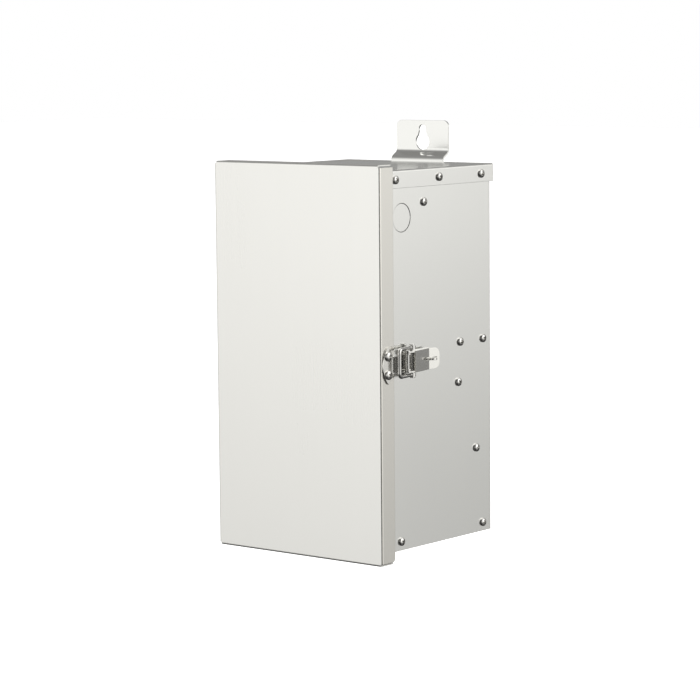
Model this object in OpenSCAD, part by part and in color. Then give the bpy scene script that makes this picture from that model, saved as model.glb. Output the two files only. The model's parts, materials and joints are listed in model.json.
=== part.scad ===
// Wall-hung stainless steel power controller: a lighting transformer and its timer in a rain-tight case.
// The origin is the centre of the hanger's keyhole on the wall plane: +X right, +Y into the wall, +Z up.

/* [Case] */
// Width of the case across its side walls
case_w = 146; // [140:1:170]
// Height of the case over its cap
case_h = 291.5; // [285:0.5:340]
// Depth of the case from its front edge to its back wall
case_d = 139; // [135:1:160]
// Thickness of the stainless steel sheet
sheet_t = 1; // [0.8:0.1:1.2]
// Outside radius of every bend in the case
bend_r = 1.6; // [1.3:0.1:2.5]
// Gap that the hanger holds between the back wall and the building
standoff = 9.5; // [7:0.5:10]
// Height of the cap's skirt
skirt_h = 14; // [12:1:18]
// Width of the folded rim round the front opening
rim_w = 9; // [7:0.5:10]

/* [Door] */
// Width of the door
door_w = 165; // [163:1:168]
// Height of the door
door_h = 304.8; // [300:0.1:310]
// Depth of the lip round the door
lip_d = 16; // [14:1:18]
// How far the door hangs below the case
door_drop = 9; // [7:0.5:10]
// Gap between the door's skin and the case's front edge
door_gap = 3; // [2.5:0.5:4]

/* [Hanger] */
// Width of the hanger
hanger_w = 52; // [40:1:60]
// Thickness of the hanger
hanger_t = 1.5; // [1.2:0.1:2]
// Radius of the keyhole's round end
key_r = 6.75; // [5:0.25:8]
// Width of the keyhole's neck
neck_w = 7; // [5:0.5:8]

/* [Latch] */
// Height of the strike's middle above the case's bottom
latch_z = 144.5; // [100:0.5:200]
// Width of the latch lever
lever_w = 16.4; // [14:0.2:17]
// Thickness of the latch's strip
latch_t = 1.2; // [1:0.1:1.4]
// Radius of the bail's wire
bail_r = 1.4; // [1.2:0.1:1.5]

/* [Power parts] */
// Outside radius of the toroidal transformer
toroid_r = 57; // [50:1:60]
// Length of the toroidal transformer along its bolt
toroid_h = 50; // [40:1:52]
// Number of poles in the terminal block
poles = 6; // [4:1:7]
// Number of tripper pins round the timer's dial
trippers = 24; // [12:12:48]
// Radius of the insulated leads
lead_r = 1.5; // [1:0.1:1.8]

/* [Hidden] */
$fn = 48;
slack = 0.1;                                  // gap between sheets that only touch
through = 4;                                  // how far a cutter runs past a sheet

// Planes of the case, before the shift to the keyhole
half_w = case_w / 2;
back_y = -standoff;
front_y = back_y - case_d;
inner_back_y = back_y - sheet_t;
inner_x = half_w - sheet_t;
wrap_h = case_h - sheet_t - 0.7;
cap_x = half_w + slack + sheet_t;
cap_rear_y = back_y + hanger_t + slack + sheet_t;
screw_z = case_h - skirt_h / 2 - 0.5;

// Door
side_gap = 0.85;
door_right = half_w + side_gap + sheet_t;
door_left = door_right - door_w;
door_y = front_y - door_gap - sheet_t;
door_top = door_h - door_drop;
lip_y = door_y + lip_d;
corner_gap = 2;                               // relief between neighbouring lips

// Hanger and keyhole
foot_h = 40;                                  // leg below the cap's top
hanger_bend_r = 6;                            // outside radius of the joggle's two bends
key_z = case_h + 15.5;                        // the origin's height above the case's bottom
hanger_top = case_h + 32.6;
key_neck_z = key_z + 10.2;                    // centre of the neck's round top

// Screws and rivets
screw_r = 1.7;
head_r = 3.3;
head_h = 2.3;
rivet_r = 1.6;
rivet_head_r = 2.5;
cap_screw_y = [front_y + 16, front_y + 70.7, front_y + 125.2];
bottom_screw_y = [front_y + 22, front_y + 127.5];
bottom_screw_z = 7;
shelf_screw_y = [front_y + 98.4, front_y + 128.3];
shelf_screw_z = 154;
panel_screw = [front_y + 52.3, 265.8];
bracket_screw = [[front_y + 95.7, 122.6], [front_y + 119.1, 67.9]];

// Knockout
knock_r = 11.1;
knock = [front_y + 25, 255];

// Hinges
hinge_r = 3.2;
hinge_pin_r = 1.6;
hinge_t = 1.2;
hinge_l = 50;
hinge_x = -half_w - hinge_r - 0.4;
hinge_y = lip_y + 1;
hinge_z = [45, 205];
knuckle_l = 15;
leaf_d = 24;                                  // from the pin to the case leaf's free edge
hinge_rivet_y = hinge_y + 18;

// Latch, with distances measured out from the case wall
latch_rise = 1.2;                             // from the strike's middle up to the latch's
pivot_a = 5;
pivot_y = front_y + 25;
bail_a = 4.6;
bail_y = pivot_y + 6;
bail_l = 19.9;                                // from the bail's pin to its front wire
bail_tilt = 8.9;                              // slack bail: it lies just outside the hook
bail_bend = 3;
bail_half = 10.5;                             // from the latch's middle to the bail's side wires
bail_pin_r = 1.4;
lever_pin_r = 1.5;
ear_z = lever_w / 2 - 2 * latch_t - 0.35;     // inside face of an ear
tab_start_y = front_y + 51;
tab_end_y = front_y + 60.5;

// Inside
shelf_z = 160;
panel_y = front_y + 39;
panel_t = 1.2;
panel_bottom = shelf_z + panel_t + slack;
panel_top = case_h - 10;
toroid_z = 82;
bracket_y = inner_back_y - 8;                 // front face of the transformer bracket
bracket_t = 1.5;
pad_t = 2;
coil_y = bracket_y - pad_t;
washer_y = coil_y - toroid_h - pad_t;
washer_t = 2;
term_y = front_y + 54;                        // front face of the terminal bracket
term_z = [38, 62];
pitch = 15;
timer = [-26, 226];
timer_w = 72;
timer_front = panel_y - 10;
dial_r = 30;
right_col = 42;                               // column of small controls
rocker_z = 256;
breaker_z = 224;
pilot_z = 200;
socket_z = 181;
rocker_tilt = 10;
outlet = [[-32, front_y + 28], [32, front_y + 28]];
outlet_r = 11.1;
gland = [-52, front_y + 106];
gland_r = 8;
cord_r = 4.2;
grommet_x = 50;
grommet_y = front_y + 105;
grommet_r = 8;
standoff_x = 50;
standoff_z = 24;
mount_r = 2.6;
hole_slack = 0.15;
run_slack = 0.05;

// Points of a sheet's outline that bends at each inner corner of path. side 1 puts the thickness on the left.
function unit(v) = v / norm(v);
function left_of(v) = [-v[1], v[0]];
function corner(p, i, r, n) =
    let (a = unit(p[i] - p[i - 1]), b = unit(p[i + 1] - p[i]), turn = a[0] * b[1] - a[1] * b[0],
         phi = acos(a * b), reach = r * tan(phi / 2), s = turn > 0 ? 1 : -1,
         c = p[i] - a * reach + left_of(a) * r * s)
    [for (k = [0:n]) let (t = s * phi * k / n, m = -left_of(a) * s,
        d = [m[0] * cos(t) - m[1] * sin(t), m[0] * sin(t) + m[1] * cos(t)]) [c + d * r, -d * s]];
function bent(p, t, side = 1, r = bend_r, n = 5) =
    let (q = concat([[p[0], left_of(unit(p[1] - p[0]))]],
        [for (i = [1:len(p) - 2]) each corner(p, i, bend_at(p, i, t, side, r), n)],
        [[p[len(p) - 1], left_of(unit(p[len(p) - 1] - p[len(p) - 2]))]]))
    concat([for (e = q) e[0]], [for (i = [len(q) - 1:-1:0]) q[i][0] + q[i][1] * t * side]);
// A bend towards the thickness keeps r outside; a bend away from it keeps r - t, so both look alike.
function bend_at(p, i, t, side, r) =
    let (a = p[i] - p[i - 1], b = p[i + 1] - p[i]) (a[0] * b[1] - a[1] * b[0]) * side > 0 ? r : r - t;

// A tube swept along smoothed points
function spline(p, i, t) =
    let (a = p[max(i - 1, 0)], b = p[i], c = p[i + 1], d = p[min(i + 2, len(p) - 1)])
    0.5 * (2 * b + (c - a) * t + (2 * a - 5 * b + 4 * c - d) * t * t + (3 * b - a - 3 * c + d) * t * t * t);
function smooth_path(p, n) = concat([for (i = [0:len(p) - 2]) for (k = [0:n - 1]) spline(p, i, k / n)],
    [p[len(p) - 1]]);
function heading(p, i) = unit(p[min(i + 1, len(p) - 1)] - p[max(i - 1, 0)]);
function square_to(v, t) = unit(v - t * (v * t));
function normals(p) =
    let (t0 = heading(p, 0), n0 = square_to(abs(t0[2]) < 0.9 ? [0, 0, 1] : [1, 0, 0], t0))
    [for (i = 0, n = n0; i < len(p); i = i + 1, n = square_to(n, heading(p, min(i, len(p) - 1)))) n];

module tube(points, r, sides = 8, steps = 4) {
    p = smooth_path(points, steps);
    n = normals(p);
    rings = [for (i = [0:len(p) - 1]) for (k = [0:sides - 1])
        let (a = 360 * k / sides) p[i] + r * (n[i] * cos(a) + cross(heading(p, i), n[i]) * sin(a))];
    last = len(p) - 1;
    faces = concat([[for (k = [0:sides - 1]) k]],
        [for (i = [0:last - 1]) for (k = [0:sides - 1])
            let (a = i * sides, b = a + sides, j = (k + 1) % sides)
            each [[a + k, b + k, b + j], [a + k, b + j, a + j]]],
        [[for (k = [sides - 1:-1:0]) last * sides + k]]);
    polyhedron(rings, faces, convexity = 6);
}

// A box between two corners
module block(a, b) translate([min(a[0], b[0]), min(a[1], b[1]), min(a[2], b[2])])
    cube([abs(b[0] - a[0]), abs(b[1] - a[1]), abs(b[2] - a[2])]);
module along_x(x, y, z) translate([x, y, z]) rotate([0, 90, 0]) children();
module along_y(x, y, z) translate([x, y, z]) rotate([90, 0, 0])
    children();      // local +Z points at the front
module both_sides() { children(); mirror([1, 0, 0]) children(); }
module cross_hole(y, z, r) along_x(-half_w - 10, y, z) cylinder(h = case_w + 20, r = r);
module side_hole(side, y, z, r) along_x(side * half_w, y, z) cylinder(h = 2 * through, r = r, center = true);
module rounded_rect(w, h, r) {
    square([w - 2 * r, h], center = true);
    square([w, h - 2 * r], center = true);
    for (x = [-1, 1]) for (y = [-1, 1]) translate([x * (w / 2 - r), y * (h / 2 - r)]) circle(r);
}
module rounded_plate(w, h, r, t) linear_extrude(t) rounded_rect(w, h, r);

// Fasteners along local +Z: the head sits on z = 0 and the shank runs down
module pan_screw(l, r = screw_r, hr = head_r, hh = head_h) {
    difference() {
        union() {
            cylinder(h = hh * 0.45, r = hr);
            translate([0, 0, hh * 0.45]) cylinder(h = hh * 0.55, r1 = hr, r2 = hr * 0.6);
            translate([0, 0, -l]) cylinder(h = l + 0.2, r = r);
        }
        for (a = [45, 135]) rotate([0, 0, a]) translate([-hr * 0.55, -hr * 0.12, hh * 0.4])
            cube([hr * 1.1, hr * 0.24, hh]);
    }
}
module rivet(l, r = rivet_r, hr = rivet_head_r, hh = 1.1) {
    cylinder(h = hh * 0.5, r = hr);
    translate([0, 0, hh * 0.5]) cylinder(h = hh * 0.5, r1 = hr, r2 = hr * 0.65);
    translate([0, 0, -l]) cylinder(h = l + 0.2, r = r);
    translate([0, 0, -l - 0.8]) cylinder(h = 0.8, r = r + 0.7);
}
module side_screws(rows, z, x = half_w) both_sides() for (y = rows) along_x(x, y, z) pan_screw(7);

// ---- Case ----
module case_wrap() color("gainsboro") difference() {
    linear_extrude(wrap_h) polygon(bent([[-half_w + rim_w, front_y], [-half_w, front_y], [-half_w, back_y],
        [half_w, back_y], [half_w, front_y], [half_w - rim_w, front_y]], sheet_t, -1));
    for (y = cap_screw_y) cross_hole(y, screw_z, screw_r + hole_slack);
    for (y = bottom_screw_y) cross_hole(y, bottom_screw_z, screw_r + hole_slack);
    for (y = shelf_screw_y) cross_hole(y, shelf_screw_z, screw_r + hole_slack);
    for (s = bracket_screw) cross_hole(s[0], s[1], screw_r + hole_slack);
    cross_hole(panel_screw[0], panel_screw[1], screw_r + hole_slack);
    side_hole(1, knock[0], knock[1], knock_r);
    for (y = latch_rivet_y) side_hole(1, y, latch_z + latch_rise, rivet_r + run_slack);
    for (z = hinge_z) for (s = [-1, 1])
        side_hole(-1, hinge_rivet_y, z + hinge_l / 2 + 15 * s, rivet_r + run_slack);
    for (s = [-1, 1]) {
        along_y(s * hanger_rivet_x, back_y + through, hanger_rivet_z)
            cylinder(h = 2 * through, r = rivet_r + run_slack);
        along_y(s * standoff_x, back_y + through, standoff_z) cylinder(h = 2 * through, r = spigot_r);
    }
}
hanger_rivet_x = 16;
hanger_rivet_z = case_h - 28;
latch_rivet_y = [pivot_y + 8, pivot_y + 17];
spigot_r = 5;

module top_cap() color("gainsboro") difference() {
    union() {
        translate([0, cap_rear_y, 0]) rotate([90, 0, 0]) linear_extrude(cap_rear_y - lip_y - 0.4)
            polygon(bent([[-cap_x, case_h - skirt_h], [-cap_x, case_h], [cap_x, case_h],
                [cap_x, case_h - skirt_h]], sheet_t, -1));
        block([-half_w, front_y, case_h - sheet_t], [half_w, lip_y + 2, case_h]);
        block([-half_w + rim_w + slack, front_y, case_h - rim_w],
            [half_w - rim_w - slack, front_y + sheet_t, case_h]);
        block([-half_w, cap_rear_y - sheet_t, case_h - skirt_h], [half_w, cap_rear_y, case_h]);
    }
    block([-hanger_w / 2 - 1, back_y - 1, case_h - skirt_h - 1], [hanger_w / 2 + 1, 1, case_h + 1]);
    for (y = cap_screw_y) cross_hole(y, screw_z, screw_r + hole_slack);
}
module cap_screws() color("silver") side_screws(cap_screw_y, screw_z, cap_x);

pan_x = inner_x - run_slack;
pan_wall = 13;
module bottom_pan() color("gainsboro") difference() {
    union() {
        block([-pan_x, front_y + sheet_t + slack, 0], [pan_x, inner_back_y - slack, sheet_t]);
        block([-half_w + rim_w + slack, front_y, 0], [half_w - rim_w - slack, front_y + 3, sheet_t]);
        block([-half_w + rim_w + slack, front_y, 0], [half_w - rim_w - slack, front_y + sheet_t, rim_w]);
        for (s = [-1, 1]) block([s * pan_x, front_y + 4, 0],
            [s * (pan_x - sheet_t), inner_back_y - 2, pan_wall]);
        block([-pan_x + 2, inner_back_y - slack, 0], [pan_x - 2, inner_back_y - slack - sheet_t, pan_wall]);
    }
    for (y = bottom_screw_y) cross_hole(y, bottom_screw_z, screw_r + run_slack);
    for (p = outlet) translate([p[0], p[1], -1]) cylinder(h = 3, r = outlet_r);
    translate([gland[0], gland[1], -1]) cylinder(h = 3, r = gland_r);
    for (x = [-1, 1]) translate([x * 60, inner_back_y - 12, -1]) cylinder(h = 3, r = 2);
    for (x = term_foot_x) translate([x, term_y + 12, -1]) cylinder(h = 3, r = screw_r + run_slack);
    translate([ground[0], ground[1], -1]) cylinder(h = 3, r = screw_r + run_slack);
}
ground = [52, front_y + 30];
term_foot_x = [-40, 40];
module bottom_screws() color("silver") side_screws(bottom_screw_y, bottom_screw_z);

module keyhole() {
    neck = [neck_w / 2, key_neck_z - key_z];
    circle(key_r);
    translate([0, neck[1]]) circle(neck[0]);
    translate([-neck[0], 0]) square([neck_w, neck[1]]);
    polygon([[-neck[0], 8.8], [neck[0], 8.8], [neck[0] + 1, 4.9], [-neck[0] - 1, 4.9]]);
}
module hanger_bracket() color("gainsboro") intersection() {
    translate([-hanger_w / 2, 0, 0]) rotate([90, 0, 90]) linear_extrude(hanger_w)
        polygon(bent([[back_y, case_h - foot_h], [back_y, case_h + 3], [-hanger_t, case_h + 7.8],
            [-hanger_t, hanger_top]], hanger_t, -1, hanger_bend_r, 9));
    difference() {
        along_y(0, 5, hanger_top - 60) translate([0, 0, 0]) linear_extrude(20) difference() {
            rounded_rect(hanger_w, 120, 5);
            translate([0, key_z - hanger_top + 60]) keyhole();
        }
        for (s = [-1, 1]) along_y(s * hanger_rivet_x, 5, hanger_rivet_z)
            cylinder(h = 20, r = rivet_r + run_slack);
    }
}
module hanger_rivets() color("silver") for (s = [-1, 1])
    translate([s * hanger_rivet_x, back_y + hanger_t, hanger_rivet_z]) rotate([-90, 0, 0])
        rivet(hanger_t + sheet_t);

module rear_standoffs() color("dimgray") for (s = [-1, 1])
    translate([s * standoff_x, 0, standoff_z]) rotate([90, 0, 0]) difference() {
        union() {
            cylinder(h = standoff, r = 8);
            cylinder(h = standoff + 2.4, r = spigot_r - run_slack);
            translate([0, 0, standoff + sheet_t + run_slack])
                cylinder(h = 1.3, r1 = spigot_r + 0.5, r2 = spigot_r - 0.3);
        }
        translate([0, 0, -1]) cylinder(h = standoff + 5, r = mount_r);
    }

module knockout_slug() color("gainsboro") along_x(half_w - sheet_t - 0.3, knock[0], knock[1]) {
    cylinder(h = sheet_t, r = knock_r - 0.45);
    for (a = [0, 180]) rotate([0, 0, a + 90]) translate([0, -0.8, 0.3])
        cube([knock_r - 0.02, 1.6, sheet_t - 0.3]);
}

// ---- Door ----
module door_shell() color("gainsboro") difference() {
    union() {
        translate([0, 0, -door_drop + corner_gap]) linear_extrude(door_h - 2 * corner_gap)
            polygon(bent([[door_left, lip_y], [door_left, door_y], [door_right, door_y], [door_right, lip_y]],
                sheet_t, 1));
        translate([door_left + corner_gap, 0, 0]) rotate([90, 0, 90]) linear_extrude(door_w - 2 * corner_gap)
            polygon(bent([[lip_y, -door_drop], [door_y, -door_drop], [door_y, door_top], [lip_y, door_top]],
                sheet_t, -1));
    }
    // the lower corner of each side lip is cut short and rounded
    for (x = [door_left, door_right]) difference() {
        block([x - 2, lip_y - 3, -door_drop + corner_gap - 1],
            [x + 2, lip_y + 1, -door_drop + corner_gap + 3]);
        along_x(x - 2, lip_y - 3, -door_drop + corner_gap + 3) cylinder(h = 4, r = 3);
    }
    for (z = hinge_z) for (s = [-1, 1])
        along_x(door_left, hinge_door_y, z + hinge_l / 2 + 15 * s)
            cylinder(h = 8, r = rivet_r + run_slack, center = true);
    for (s = [-1, 1]) along_x(door_right, strike_screw_y, latch_z + s * strike_screw_z)
        cylinder(h = 8, r = strike_screw_r + run_slack, center = true);
}
hinge_door_y = door_y + 7.5;
strike_y = door_y + 7.8;
strike_screw_y = door_y + 7.6;
hook_y = lip_y + 2;                             // back end of the strike, behind the door's lip
strike_screw_z = 7;
strike_screw_r = 1.6;

gasket_w = 7;
module door_gasket() color("dimgray") along_y(0, front_y - 0.3, case_h / 2) linear_extrude(door_gap - 0.3)
    difference() {
        rounded_rect(case_w - 4, case_h - 5, 5);
        rounded_rect(case_w - 4 - 2 * gasket_w, case_h - 5 - 2 * gasket_w, 2);
    }
module door_label() color("white") along_y(0, door_y + sheet_t + 0.2, 170) rounded_plate(96, 120, 3, 0.2);

// ---- Hinges: the case leaf has the end knuckles, the door leaf the middle one ----
module knuckle(l) difference() {
    cylinder(h = l, r = hinge_r);
    translate([0, 0, -1]) cylinder(h = l + 2, r = hinge_pin_r + run_slack);
}
module case_leaf() difference() {
    union() {
        translate([-half_w - hinge_t, hinge_y, 0]) cube([hinge_t, leaf_d, hinge_l]);
        translate([hinge_x, hinge_y, 0]) cylinder(h = hinge_l, r = hinge_r);
    }
    translate([hinge_x, hinge_y, -1]) cylinder(h = hinge_l + 2, r = hinge_pin_r + run_slack);
    translate([-half_w - 10, hinge_y - 5, knuckle_l]) cube([20, 5 + hinge_r + 0.5, hinge_l - 2 * knuckle_l]);
    for (s = [-1, 1]) along_x(-half_w - 3, hinge_rivet_y, hinge_l / 2 + 15 * s)
        cylinder(h = 6, r = rivet_r + run_slack);
}
module door_leaf() difference() {
    union() {
        translate([0, 0, 2]) linear_extrude(hinge_l - 4) polygon(bent([[hinge_x, hinge_y - hinge_r + hinge_t],
            [door_left + sheet_t + slack, hinge_y - hinge_r + hinge_t],
                [door_left + sheet_t + slack, door_y + 3]],
            hinge_t, 1));
        translate([hinge_x, hinge_y, 2]) cylinder(h = hinge_l - 4, r = hinge_r);
    }
    translate([hinge_x, hinge_y, 0]) cylinder(h = hinge_l, r = hinge_pin_r + run_slack);
    for (z = [0, hinge_l - knuckle_l - 0.3])
        translate([hinge_x - hinge_r - 0.5, hinge_y - hinge_r - 1, z - 0.01])
        cube([10, 10, knuckle_l + 0.31]);
    for (s = [-1, 1]) along_x(door_left, hinge_door_y, hinge_l / 2 + 15 * s)
        cylinder(h = 6, r = rivet_r + run_slack);
}
module hinge_case_leaves() color("silver") for (z = hinge_z) translate([0, 0, z]) case_leaf();
module hinge_door_leaves() color("silver") for (z = hinge_z) translate([0, 0, z]) door_leaf();
module hinge_pins() color("gray") for (z = hinge_z) translate([hinge_x, hinge_y, z - 1.2]) {
    cylinder(h = 1.1, r = hinge_pin_r + 0.9);
    cylinder(h = hinge_l + 2.4, r = hinge_pin_r);
    translate([0, 0, hinge_l + 1.3]) cylinder(h = 1.1, r = hinge_pin_r + 0.9);
}
module hinge_case_rivets() color("silver") for (z = hinge_z) for (s = [-1, 1])
    translate([-half_w - hinge_t, hinge_rivet_y, z + hinge_l / 2 + 15 * s]) rotate([0, -90, 0])
        rivet(hinge_t + sheet_t);
module hinge_door_rivets() color("silver") for (z = hinge_z) for (s = [-1, 1])
    translate([door_left, hinge_door_y, z + hinge_l / 2 + 15 * s]) rotate([0, -90, 0])
        rivet(sheet_t + slack + hinge_t);

// ---- Latch: drawn with local X out from the case wall, Y as the case's, Z from the latch's middle ----
module at_latch() translate([half_w, 0, latch_z + latch_rise]) children();
module latch_base() color("silver") at_latch() difference() {
    union() {
        block([0, pivot_y - 4, -lever_w / 2 + 0.6], [latch_t, tab_start_y + 8, lever_w / 2 - 0.6]);
        for (s = [-1, 1]) translate([0, 0, s * (ear_z + latch_t / 2)])
            linear_extrude(latch_t, center = true) {
            translate([pivot_a, pivot_y]) circle(2.6);
            translate([0, pivot_y - 2.6]) square([pivot_a, 5.2]);
        }
        // padlock staple
        linear_extrude(1.4, center = true) {
            translate([0, tab_start_y - 5]) square([7.5, 10]);
            translate([9, tab_start_y]) circle(3.4);
        }
    }
    translate([pivot_a, pivot_y, -10]) cylinder(h = 20, r = lever_pin_r + run_slack);
    translate([9.3, tab_start_y, -2]) cylinder(h = 4, r = 2);
    for (y = latch_rivet_y) along_x(-1, y, 0) cylinder(h = 4, r = rivet_r + run_slack);
}
module latch_base_rivets() color("silver") at_latch() for (y = latch_rivet_y)
    along_x(latch_t, y, 0) rivet(latch_t + sheet_t);
module latch_lever() color("gainsboro") at_latch() difference() {
    union() {
        // web, sloping towards the wall, and the flared finger tab
        translate([0, 0, -lever_w / 2]) linear_extrude(lever_w) polygon(bent([[9.6, pivot_y + 4],
            [6.4, tab_start_y - 1], [8.6, tab_end_y]], latch_t, 1, 2));
        // cheeks
        for (s = [-1, 1]) translate([0, 0, s * (lever_w - latch_t) / 2])
            linear_extrude(latch_t, center = true) {
            translate([pivot_a, pivot_y]) circle(3.4);
            polygon([[pivot_a - 3.3, pivot_y], [pivot_a + 3.2, pivot_y - 0.8], [9, pivot_y + 4.6],
                [6, tab_start_y - 3], [4.6, tab_start_y - 3], [1.9, pivot_y + 10]]);
        }
    }
    translate([pivot_a, pivot_y, -10]) cylinder(h = 20, r = lever_pin_r + 0.02);
    translate([bail_a, bail_y, -10]) cylinder(h = 20, r = bail_pin_r + 0.02);
    // slot for the staple
    block([0, tab_start_y - 6.6, -1.2], [12, tab_start_y + 6.6, 1.2]);
    // rounded end of the tab
    for (s = [-1, 1]) difference() {
        block([0, tab_end_y - 5, s * (lever_w / 2 - 5)], [14, tab_end_y + 2, s * (lever_w / 2 + 1)]);
        along_x(0, tab_end_y - 5, s * (lever_w / 2 - 5)) cylinder(h = 14, r = 5);
    }
}
module latch_lever_pin() color("silver") at_latch() translate([pivot_a, pivot_y, 0]) {
    cylinder(h = lever_w + 1, r = lever_pin_r, center = true);
    for (s = [-1, 1]) translate([0, 0, s * (lever_w / 2 + 0.27)]) cylinder(h = 0.5, r = 2.2, center = true);
}
module latch_bail() color("silver") at_latch() translate([bail_a, bail_y, 0]) rotate([0, 0, bail_tilt]) {
    for (s = [-1, 1]) {
        translate([0, -2, s * bail_half]) rotate([90, 0, 0]) cylinder(h = bail_l - bail_bend - 2, r = bail_r);
        translate([0, 0, s * bail_half]) difference() {
            cylinder(h = 2 * bail_r, r = 2.8, center = true);
            cylinder(h = 4, r = bail_pin_r + run_slack, center = true);
        }
        translate([0, bail_bend - bail_l, s * (bail_half - bail_bend)]) rotate([0, 90, 0])
            rotate([0, 0, s > 0 ? 180 : 270]) rotate_extrude(angle = 90) translate([bail_bend, 0])
                circle(bail_r);
    }
    translate([0, -bail_l, 0]) cylinder(h = 2 * (bail_half - bail_bend), r = bail_r, center = true);
}
module latch_bail_pin() color("silver") at_latch() translate([bail_a, bail_y, 0]) {
    cylinder(h = 2 * (bail_half + bail_r) + 1.4, r = bail_pin_r, center = true);
    for (s = [-1, 1]) translate([0, 0, s * (bail_half + bail_r + 0.7)])
        cylinder(h = 0.6, r = 2.2, center = true);
}
module strike_plate() color("silver") translate([0, 0, latch_z]) difference() {
    union() {
        // pointed oval plate
        translate([door_right, strike_y, 0]) rotate([0, 90, 0]) linear_extrude(latch_t)
            intersection_for (s = [-1, 1])
            translate([0, s * 13]) circle(19.3, $fn = 96);
        // hook that the bail catches
        translate([0, 0, -6.2]) linear_extrude(12.4)
            polygon(bent([[door_right, strike_y], [door_right, hook_y],
            [door_right + 4, hook_y - 0.4]], latch_t, -1, 1.5));
    }
    for (s = [-1, 1]) along_x(door_right - 2, strike_screw_y, s * strike_screw_z)
        cylinder(h = 6, r = strike_screw_r + run_slack);
}
module strike_screws() color("silver") for (s = [-1, 1])
    along_x(door_right + latch_t, strike_screw_y, latch_z + s * strike_screw_z)
        pan_screw(latch_t + sheet_t + 0.6, strike_screw_r, 3.7, 2.2);

// ---- Chassis ----
module divider_shelf() color("lightgray") difference() {
    union() {
        block([-pan_x, panel_y - 4, shelf_z], [pan_x, inner_back_y - slack, shelf_z + panel_t]);
        for (s = [-1, 1]) block([s * pan_x, panel_y + 7, shelf_z + 0.5],
            [s * (pan_x - panel_t), inner_back_y - 4, shelf_screw_z - 7]);
        block([-pan_x + 4, panel_y - 4, shelf_z + 0.5], [pan_x - 4, panel_y - 4 + panel_t, shelf_z - 8]);
    }
    for (y = shelf_screw_y) cross_hole(y, shelf_screw_z, screw_r + run_slack);
    for (s = [-1, 1]) translate([s * grommet_x, grommet_y, shelf_z - 1]) cylinder(h = 4, r = grommet_r);
}
module shelf_grommets() color("black") for (x = [-1, 1])
    translate([x * grommet_x, grommet_y, shelf_z + panel_t / 2]) difference() {
        union() {
            cylinder(h = panel_t + 1, r = grommet_r - run_slack, center = true);
            for (s = [-1, 1]) translate([0, 0, s * (panel_t / 2 + 1.02)])
                cylinder(h = 2, r = grommet_r + 2, center = true);
        }
        cylinder(h = 10, r = grommet_r - 2, center = true);
    }

module control_panel() color("lightgray") difference() {
    union() {
        block([-pan_x, panel_y, panel_bottom], [pan_x, panel_y + panel_t, panel_top]);
        for (s = [-1, 1]) block([s * pan_x, panel_y, panel_bottom],
            [s * (pan_x - panel_t), panel_screw[0] + 7, panel_top]);
        block([-pan_x, panel_y, panel_top], [pan_x, panel_y + 12, panel_top - panel_t]);
    }
    cross_hole(panel_screw[0], panel_screw[1], screw_r + run_slack);
    block([timer[0] - timer_w / 2 + 4, panel_y - 1, timer[1] - timer_w / 2 + 4],
        [timer[0] + timer_w / 2 - 4, panel_y + 3, timer[1] + timer_w / 2 - 4]);
    along_y(right_col, panel_y + 3, breaker_z) cylinder(h = 6, r = 5.2);
    along_y(right_col, panel_y + 3, pilot_z) cylinder(h = 6, r = 4.2);
    block([right_col - 10.2, panel_y - 1, rocker_z - 7.2], [right_col + 10.2, panel_y + 3, rocker_z + 7.2]);
    block([right_col - 9.2, panel_y - 1, socket_z - 6.2], [right_col + 9.2, panel_y + 3, socket_z + 6.2]);
}

// ---- Timer ----
module timer_housing() color("gainsboro") {
    timer_case();
    along_y(timer[0], timer_front + 6.5, timer[1]) cylinder(h = 5, r = 2.5);
}
module timer_case() difference() {
    union() {
        along_y(timer[0], panel_y, timer[1]) rounded_plate(timer_w, timer_w, 5, panel_y - timer_front);
        block([timer[0] - timer_w / 2 + 4.2, panel_y - 1, timer[1] - timer_w / 2 + 4.2],
            [timer[0] + timer_w / 2 - 4.2, panel_y + 26, timer[1] + timer_w / 2 - 4.2]);
        // time mark
        along_y(timer[0], timer_front + 0.1, timer[1] + dial_r + 1.2) linear_extrude(1.2)
            polygon([[-2, 3.4], [2, 3.4], [0, 0]]);
    }
    along_y(timer[0], timer_front + 6, timer[1]) cylinder(h = 10, r = dial_r + 0.6);
    block([timer[0] + timer_w / 2 - 10, timer_front - 1, timer[1] - timer_w / 2 + 3],
        [timer[0] + timer_w / 2 - 3.6, timer_front + 3, timer[1] - timer_w / 2 + 17.4]);
    // blade-plug socket face at the back
    for (x = [-6, 6]) block([timer[0] + x - 1, panel_y + 20, timer[1] - 4],
        [timer[0] + x + 1, panel_y + 27, timer[1] + 4]);
}
module timer_dial() color("white") along_y(timer[0], timer_front + 5.65, timer[1]) {
    difference() {
        union() {
            cylinder(h = 6.5, r = dial_r);
            translate([0, 0, 6.4]) cylinder(h = 2.6, r1 = 9.5, r2 = 8.5);
        }
        for (i = [0:trippers - 1]) rotate([0, 0, 360 * i / trippers])
            translate([dial_r - 6, -0.6, 3]) cube([8, 1.2, 5]);
        difference() {
            translate([0, 0, 5.4]) cylinder(h = 2, r = dial_r - 6);
            translate([0, 0, 5]) cylinder(h = 3, r = 9.6);
        }
        translate([-9, -0.9, 7.6]) cube([18, 1.8, 3]);
        translate([0, 0, -1]) cylinder(h = 6, r = 2.5 + run_slack);
    }
}
module timer_switch() color("orangered")
    along_y(timer[0] + timer_w / 2 - 6.8, timer_front + 2.7, timer[1] - timer_w / 2 + 6.5) {
        rounded_plate(5.8, 6, 1, 2.4);
        translate([0, 0, 2.3]) rounded_plate(3, 3, 0.6, 2.6);
    }

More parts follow.
